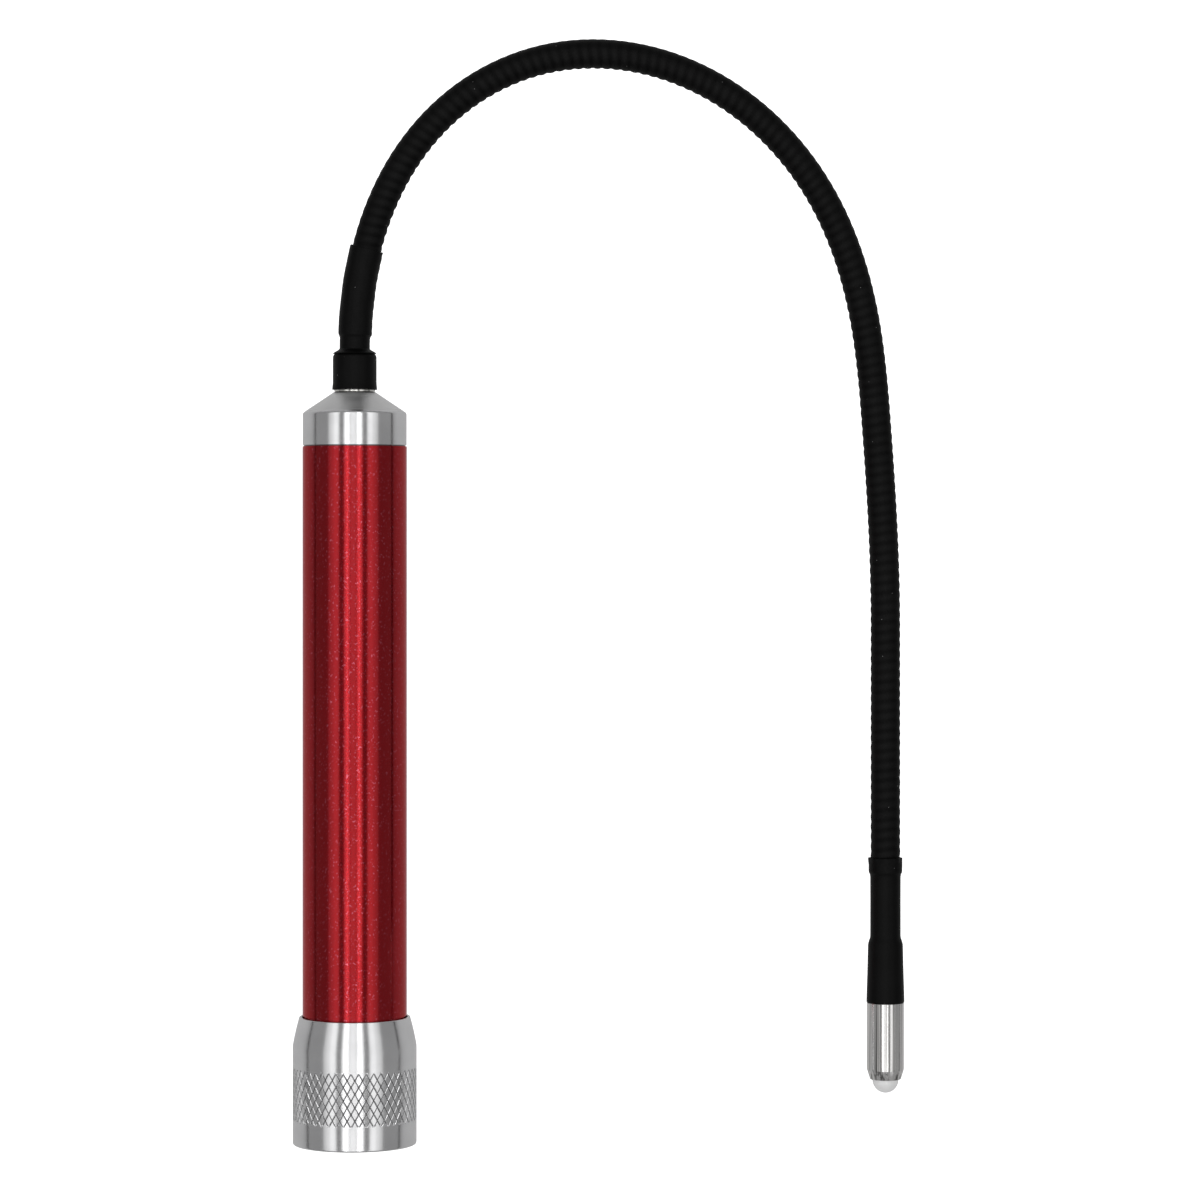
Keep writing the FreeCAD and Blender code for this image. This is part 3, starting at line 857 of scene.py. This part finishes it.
def mark_valleys(piece, low, high):
    """Stores how deep each point of a ribbed tube lies between the ribs, from 0 to 1, for the
    painted shade between them.
    """
    rows = row_places(low, high, RIB_STEP)
    segments = len(piece.data.vertices) // len(rows)
    valley = piece.data.attributes.new("valley", "FLOAT", "POINT")
    for i, value in enumerate(valley.data):
        angle = 2 * math.pi * (i % segments) / segments
        length = rows[i // segments]
        value.value = rib(length, angle) * (0.5 + 0.3 * inward(length, angle))


def gooseneck_cover():
    """The ribbed cover, in pieces that each reach across one hinge."""
    for hinge in range(1, SPANS):
        low = max((hinge - 0.5) * SPAN, SLEEVE_FROM)
        high = (hinge + 0.5) * SPAN
        end = high if hinge < SPANS - 1 else SPANS * SPAN + SLEEVE_TAIL
        name = f"sleeve_{hinge + 1:02d}"
        piece = route_tube(name, low, end, sleeve_radius, RIB_STEP, 56)
        wear(piece, "sleeve_rubber")
        mark_valleys(piece, low, end)
        if hinge == 1:
            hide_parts("gooseneck_sleeve")
        across_hinge(piece, (hinge - 0.5) * SPAN, high)


def root_shrink():
    """The root's shrink tube: a collar on the fitting, then a waist and a skirt along the route.
    """
    ragged = random.Random(4)
    phases = [ragged.uniform(0, 2 * math.pi) for _ in range(4)]

    def lip(angle, height):
        """The collar's lower edge is ragged and the rest of it nearly round."""
        if height > 145.2:
            return 0.012 * math.sin(2 * angle + height)
        wave = sum(math.sin((i + 3) * angle + phase) for i, phase in enumerate(phases))
        return 0.03 * wave / 2

    profile = [
        (3.86, 144.32),
        (4.32, 144.3, 0.1),
        (4.28, 144.7, 0.3),
        (4.2, 145.6, 0.3),
        (4.18, 150.75, 0.35),
        (3.7, 151.35, 0.2),
        (3.1, 151.6),
        (3.0, 151.3),
        (3.86, 150.95),
    ]
    collar = lathe("shrink_collar", profile, on_handle, 128, lip)
    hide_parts("base_shrink")
    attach(wear(collar, "shrink_tube"), "handle")
    cuts = [-0.3, SPAN / 2, 1.5 * SPAN, SKIRT_END]
    for hinge in range(3):
        name = f"shrink_skirt_{hinge + 1}"
        last = hinge == 2
        piece = skirt_piece(name, cuts[hinge], cuts[hinge + 1], last)
        wear(piece, "shrink_tube")
        low = (hinge - 0.5) * SPAN if hinge else ROOT_BEND_FROM
        across_hinge(piece, low, (hinge + 0.5) * SPAN)


def skirt_piece(name, low, high, with_lip):
    """One stretch of the skirt; the last one ends in a cut, slightly ragged lip."""
    segments = 72
    rows = [(length, 0.0) for length in row_places(low, high, RIB_STEP)]
    if with_lip:
        rows += [(high + 0.04, 0.05), (high + 0.05, 0.2), (high, 0.36), (high - 0.8, 0.37)]
    vertices = []
    for length, inset in rows:
        ragged = 0.0
        for i in range(segments):
            angle = 2 * math.pi * i / segments
            if with_lip and length > high - 0.6:
                ragged = 0.05 * math.sin(5 * angle + 1.0) + 0.04 * math.sin(9 * angle)
            centre, right = ROUTE.at(length + ragged * smooth((length - high + 0.6) / 0.6))
            r = (skirt_radius(min(length, high), angle) - inset) * MM
            offset = right * r * math.sin(angle) + np.array([0, 0, r * math.cos(angle)])
            vertices.append(centre + offset)
    return mesh_object(name, vertices, grid_faces(len(rows), segments), 60)


def lamp_wires():
    """The two insulated wires inside the coil, along its route."""
    board_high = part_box("driver_board")[1]
    neck_length = (CHAIN[0][0][1] - board_high[1]) / MM
    for slot, side in (("wire_red", 1), ("wire_black", -1)):
        node = f"led_{slot}"
        for hinge in range(SPANS):
            low = (hinge - 0.5) * SPAN if hinge else -neck_length
            high = (hinge + 0.5) * SPAN
            end = high if hinge < SPANS - 1 else SPANS * SPAN + WIRE_TAIL
            name = f"{node}_{hinge + 1:02d}"
            piece = route_tube(name, low, end, lambda length, angle: WIRE_R, 1.0, 12,
                               lift=side * WIRE_LIFT)
            wear(piece, slot)
            if hinge == 0:
                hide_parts(node)
                across_hinge(piece, ROOT_BEND_FROM, high)
            else:
                across_hinge(piece, low, high)


# ---------------------------------------------------------------- tip

TIP_BODY = f"span_{SPANS:02d}"
LED_R = 2.5
DOME_START = 42.5


def tip_shrink():
    """The tip's shrink tube: a ragged lip over the cover, a waist and a flared sleeve."""
    profile = [
        (2.88, 0.4),
        (2.95, 0.02),
        (3.2, 0.0, 0.08),
        (3.22, 1.2, 0.4),
        (3.2, 2.7, 0.35),
        (2.93, 3.4, 0.4),
        (2.9, 9.0, 1.0),
        (2.9, 15.2, 0.35),
        (3.33, 16.4, 0.5),
        (3.45, 21.0, 2.0),
        (3.6, 26.0, 1.0),
        (3.63, 27.6, 0.12),
        (3.5, 27.7),
        (3.33, 27.6),
        (3.33, 22.0),
        (3.1, 21.9),
        (3.1, 15.9),
        (2.46, 15.8),
        (2.46, 3.4),
    ]

    def ragged(angle, depth):
        """A torn edge that fades with depth, slight waves and a print of the ribs below."""
        fade = max(0.0, 1 - depth / 1.3)
        torn = 0.06 * math.sin(3 * angle + 0.6) + 0.07 * math.sin(8 * angle + 2.0)
        rib_print = 0.03 * (1 - rib(depth, angle)) * (depth < 3.0)
        return torn * fade + 0.012 * math.sin(2 * angle + depth * 0.35) + rib_print

    piece = lathe("tip_shrink_body", profile, on_tip, 144, ragged)
    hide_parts("tip_shrink")
    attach(wear(piece, "shrink_tube"), TIP_BODY)


def tip_shell():
    """The plated shell with its chamfered nose."""
    profile = [
        (2.9, 22.0),
        (3.3, 22.0),
        (3.3, 27.72),
        (3.54, 27.75, 0.06),
        (3.54, 40.5, 0.12),
        (2.94, 42.36, 0.06),
        (2.56, 42.4, 0.05),
        (2.56, 40.35),
        (3.28, 40.35),
        (3.28, 28.5),
        (2.9, 28.5),
    ]
    piece = lathe("tip_shell_body", profile, on_tip, 160)
    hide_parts("tip_shell")
    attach(wear(piece, "nickel_plate"), TIP_BODY)


def lamp():
    """The lamp: a clear body with a dome, and the cup and post cast inside it."""
    dome = [(LED_R * math.cos(a), DOME_START + LED_R * math.sin(a))
            for a in np.linspace(0, math.pi / 2, 24)]
    profile = [(0.0, 35.5), (2.9, 35.5, 0.08), (2.9, 36.5, 0.08), (LED_R, 36.55)] + dome
    body = lathe("led_body", profile, on_tip, 96, closed=False)
    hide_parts("led")
    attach(wear(body, "led_epoxy"), TIP_BODY)
    cup = lathe(
        "led_cup",
        [(0.0, 40.4), (0.45, 40.4), (0.85, 41.1), (0.95, 41.1), (0.95, 40.1), (0.4, 39.8),
         (0.35, 36.2), (0.0, 36.2)],
        lambda x, y, z: on_tip(x, y, z + 0.35),
        32,
        closed=False,
    )
    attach(wear(cup, "lead_wire"), TIP_BODY)
    post = lathe(
        "led_post",
        [(0.0, 40.9), (0.22, 40.9, 0.05), (0.22, 36.2), (0.0, 36.2)],
        lambda x, y, z: on_tip(x, y, z - 1.27),
        20,
        closed=False,
    )
    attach(wear(post, "lead_wire"), TIP_BODY)


barrel()
neck_cap()
ferrule()
tail_cap()
gooseneck_cover()
root_shrink()
lamp_wires()
tip_shrink()
tip_shell()
lamp()


# ---------------------------------------------------------------- floor, light, camera
# Lengths from here on are in metres.

FLOOR_DROP = 0.15
FLOOR_HALF_WIDTH = 1.47
FLOOR_HALF_LENGTH = 3.0
FLOOR_GLOW = 0.95


def floor():
    """A large plain pale floor, low enough for the arm to bend down without meeting it. It
    glows to the camera alone, so it looks white while the metal reflects it as grey."""
    low = -FLOOR_DROP
    left, right = AXIS_X - FLOOR_HALF_WIDTH, AXIS_X + FLOOR_HALF_WIDTH
    near, far = -FLOOR_HALF_LENGTH, FLOOR_HALF_LENGTH
    corners = [(left, near, low), (right, near, low), (right, far, low), (left, far, low)]
    piece = mesh_object("floor", corners, [(0, 1, 2, 3)])
    look = Look("floor_paint").set(Roughness=0.9, Specular_IOR_Level=0.1)
    paper = look.noise((0.05, 0.05, 0.05), detail=2.0)
    look.link(look.mix(paper, (0.74, 0.74, 0.74), (0.72, 0.72, 0.72)), "Base Color")
    seen = look.tree.nodes.new("ShaderNodeLightPath").outputs["Is Camera Ray"]
    look.set(Emission_Color=(1.0, 1.0, 1.0, 1.0))
    look.link(look.math("MULTIPLY", seen, FLOOR_GLOW), "Emission Strength")
    piece.data.materials.append(look.material)


LIGHTS_FROM_TAIL = 0.09
STRIP_LENGTH = 1.8
BOX_LENGTH = 2.2


def panel(name, side, z, width, length, radiance):
    """A soft box whose long side lies along the handle, at a distance to one side of it and a
    height, turned to face the line below the handle's axis."""
    light = bpy.data.lights.new(name, "AREA")
    light.shape = "RECTANGLE"
    light.size = width
    light.size_y = length
    light.energy = radiance * width * length * math.pi
    item = bpy.data.objects.new(name, light)
    item.location = (AXIS_X + side, TAIL_Y + LIGHTS_FROM_TAIL, z)
    item.rotation_euler = (0.0, math.atan2(side, z), 0.0)
    bpy.context.scene.collection.objects.link(item)


# Each wide box fades outwards in three parts: degrees from overhead, width, radiance.
BOX_DISTANCE = 1.35
BOX_PARTS = ((37.0, 0.284, 0.85), (46.5, 0.165, 0.58), (53.0, 0.141, 0.4))


def lights():
    """Two strips with a bare tube in each and a dimmer one between them, and two wide boxes."""
    panel("middle", 0.0, 1.0, 0.2, STRIP_LENGTH, 0.8)
    for side in (-1, 1):
        panel(f"strip_{side + 1}", side * 0.24, 1.0, 0.22, STRIP_LENGTH, 1.15)
        panel(f"tube_{side + 1}", side * 0.22, 0.97, 0.014, STRIP_LENGTH, 4.5)
        for part, (degrees, width, radiance) in enumerate(BOX_PARTS):
            out = side * BOX_DISTANCE * math.sin(math.radians(degrees))
            up = BOX_DISTANCE * math.cos(math.radians(degrees))
            panel(f"box_{side + 1}_{part}", out, up, width, BOX_LENGTH, radiance)


# The room's grey at each height of a unit vector that points to it: dark below the floor's
# edge and a little darker overhead.
ROOM_SHADES = ((-1.0, 0.03), (1.0, 0.2), (-0.06, 0.03), (-0.045, 0.29), (0.6, 0.26),
               (0.86, 0.19))


def room():
    """A grey room that reflects in the metal. The camera itself sees it as white."""
    world = bpy.data.worlds.new("room")
    world.use_nodes = True
    tree = world.node_tree
    sky = tree.nodes["Background"]
    way = tree.nodes.new("ShaderNodeTexCoord").outputs["Generated"]
    split = tree.nodes.new("ShaderNodeSeparateXYZ")
    ramp = tree.nodes.new("ShaderNodeValToRGB")
    tree.links.new(way, split.inputs[0])
    half_height = tree.nodes.new("ShaderNodeMath")
    half_height.operation = "MULTIPLY_ADD"
    half_height.inputs[1].default_value = 0.5
    half_height.inputs[2].default_value = 0.5
    tree.links.new(split.outputs["Z"], half_height.inputs[0])
    tree.links.new(half_height.outputs[0], ramp.inputs["Fac"])
    elements = ramp.color_ramp.elements
    for i, (height, shade) in enumerate(ROOM_SHADES):
        element = elements[i] if i < 2 else elements.new(height)
        element.position = (height + 1) / 2
        element.color = (shade, shade, shade, 1.0)
    seen = tree.nodes.new("ShaderNodeLightPath").outputs["Is Camera Ray"]
    pick = tree.nodes.new("ShaderNodeMixRGB")
    tree.links.new(seen, pick.inputs["Fac"])
    tree.links.new(ramp.outputs["Color"], pick.inputs["Color1"])
    pick.inputs["Color2"].default_value = (1.0, 1.0, 1.0, 1.0)
    tree.links.new(pick.outputs["Color"], sky.inputs["Color"])
    bpy.context.scene.world = world


CAMERA_DISTANCE = 0.783
CAMERA_VIEW_WIDTH = 0.2297
CAMERA_FROM_AXIS = 46.95 * MM
CAMERA_FROM_TAIL = 118.6 * MM
CAMERA_SHIFT = -0.0633
SENSOR_MM = 36.0


def camera():
    """The camera looks straight down at the hook from a little under 0.8 m."""
    lens = bpy.data.cameras.new("camera")
    lens.sensor_width = SENSOR_MM
    lens.lens = SENSOR_MM * CAMERA_DISTANCE / CAMERA_VIEW_WIDTH
    lens.clip_end = 10.0
    lens.shift_y = CAMERA_SHIFT
    item = bpy.data.objects.new("camera", lens)
    look_x = AXIS_X + CAMERA_FROM_AXIS
    look_y = TAIL_Y + CAMERA_FROM_TAIL
    item.location = (look_x, look_y, AXIS_Z + CAMERA_DISTANCE)
    bpy.context.scene.collection.objects.link(item)
    bpy.context.scene.camera = item


floor()
lights()
room()
camera()
bpy.context.scene.view_settings.view_transform = "Standard"
